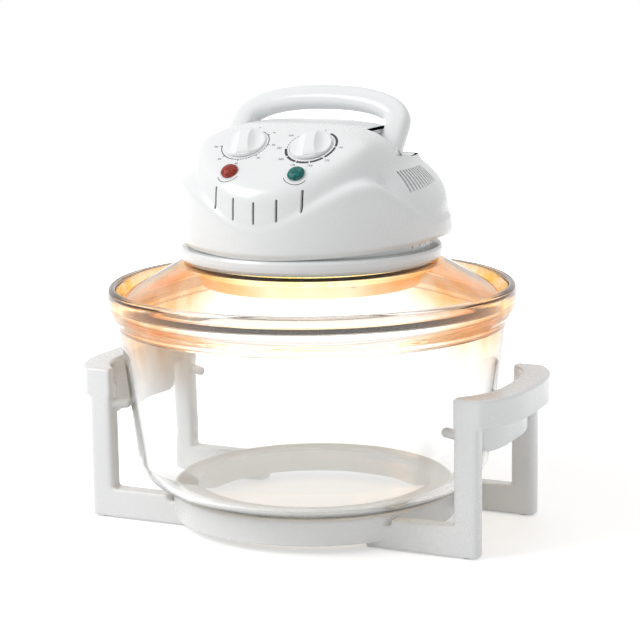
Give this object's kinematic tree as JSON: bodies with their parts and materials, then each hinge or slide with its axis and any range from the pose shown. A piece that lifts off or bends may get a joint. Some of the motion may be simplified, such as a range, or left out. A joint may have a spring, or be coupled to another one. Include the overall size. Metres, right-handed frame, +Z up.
{
  "type": "halogen oven",
  "caption": "Round glass bowl on a stand with side grips, closed by a glass lid that carries a heater head with dials, pilot lights, a fan and a tilting carrying handle.",
  "frame": {"origin": "on the table, under the centre of the bowl", "axes": "+Z up, -Y to the control panel's side, +X and -X to the two grips of the stand"},
  "size_m": [0.39, 0.3356, 0.3559],
  "materials": {
    "white_plastic": "glossy moulded",
    "grey_rubber": "soft matt",
    "bowl_glass": "clear polished",
    "lid_glass": "clear, amber in the lamp's light",
    "screw_steel": "plated",
    "bright_metal": "polished",
    "plated_steel": "zinc plated",
    "lamp_quartz": "glowing quartz tube",
    "ceramic": "unglazed",
    "insulating_board": "pressed board",
    "black_plastic": "fine grained",
    "copper_wire": "enamelled",
    "aluminium": "stamped sheet",
    "control_plastic": "moulded",
    "red_lens": "faceted",
    "green_lens": "faceted",
    "pilot_glass": "clear",
    "red_plastic": "moulded",
    "brass": "plain"
  },
  "bodies": {
    "stand": {"base_ring": "white_plastic", "side_frame_left": "white_plastic", "side_frame_right": "white_plastic", "bowl_pads": "grey_rubber", "feet": "grey_rubber", "stand_screws": "screw_steel"},
    "bowl": {"glass_bowl": "bowl_glass"},
    "head": {"glass_lid": "lid_glass", "lid_seal": "grey_rubber", "lower_ring": "white_plastic", "clamp_collar": "bright_metal", "collar_screws": "screw_steel", "reflector": "bright_metal", "halogen_lamp": "lamp_quartz", "lamp_caps": "ceramic", "lamp_clips": "screw_steel", "fan_guard": "bright_metal", "guard_screws": "screw_steel", "heat_shield": "insulating_board", "shield_screws": "screw_steel", "thermal_cutout": "black_plastic", "motor_stator": "plated_steel", "motor_coil": "copper_wire", "motor_brackets": "plated_steel", "upper_housing": "white_plastic", "control_bracket": "plated_steel", "timer_body": "control_plastic", "thermostat_body": "control_plastic", "power_lens": "red_lens", "heat_lens": "green_lens", "pilot_lamps": "pilot_glass", "handle_pins": "screw_steel", "handle_brackets": "plated_steel", "safety_switch": "black_plastic", "power_inlet": "black_plastic", "inlet_pins": "brass"},
    "fan_shaft": {"motor_shaft": "screw_steel", "motor_rotor": "aluminium", "circulation_fan": "aluminium", "cooling_fan": "aluminium", "fan_nut": "screw_steel"},
    "timer": {"timer_shaft": "screw_steel", "timer_knob": "white_plastic"},
    "thermostat": {"thermostat_shaft": "screw_steel", "thermostat_knob": "white_plastic"},
    "carrying_handle": {"handle": "white_plastic", "handle_hubs": "white_plastic"},
    "plunger": {"switch_plunger": "red_plastic"}
  },
  "joints": [
    {"name": "bowl_lift_out", "type": "slide", "parent": "stand", "child": "bowl", "axis": [0, 0, 1], "range_m": [0, 0.16]},
    {"name": "lid_lift_off", "type": "slide", "parent": "bowl", "child": "head", "axis": [0, 0, 1], "range_m": [0, 0.16]},
    {"name": "fan_spin", "type": "hinge", "parent": "head", "child": "fan_shaft", "pos_m": [0, 0, 0.24], "axis": [0, 0, 1], "continuous": true},
    {"name": "timer_turn", "type": "hinge", "parent": "head", "child": "timer", "pos_m": [-0.0287, -0.0589, 0.3146], "axis": [0, -0.515, 0.8572], "range_deg": [-300, 0]},
    {"name": "thermostat_turn", "type": "hinge", "parent": "head", "child": "thermostat", "pos_m": [0.0287, -0.0589, 0.3146], "axis": [0, -0.515, 0.8572], "range_deg": [-300, 0]},
    {"name": "handle_swing", "type": "hinge", "parent": "head", "child": "carrying_handle", "pos_m": [0, -0.0062, 0.297], "axis": [1, 0, 0], "range_deg": [0, 42]},
    {"name": "switch_press", "type": "slide", "parent": "head", "child": "plunger", "axis": [0, 0, 1], "range_m": [0, 0.003]}
  ],
  "couplings": [
    {"joint": "switch_press", "follows": "handle_swing", "m_per_rad": 0.0040926}
  ]
}
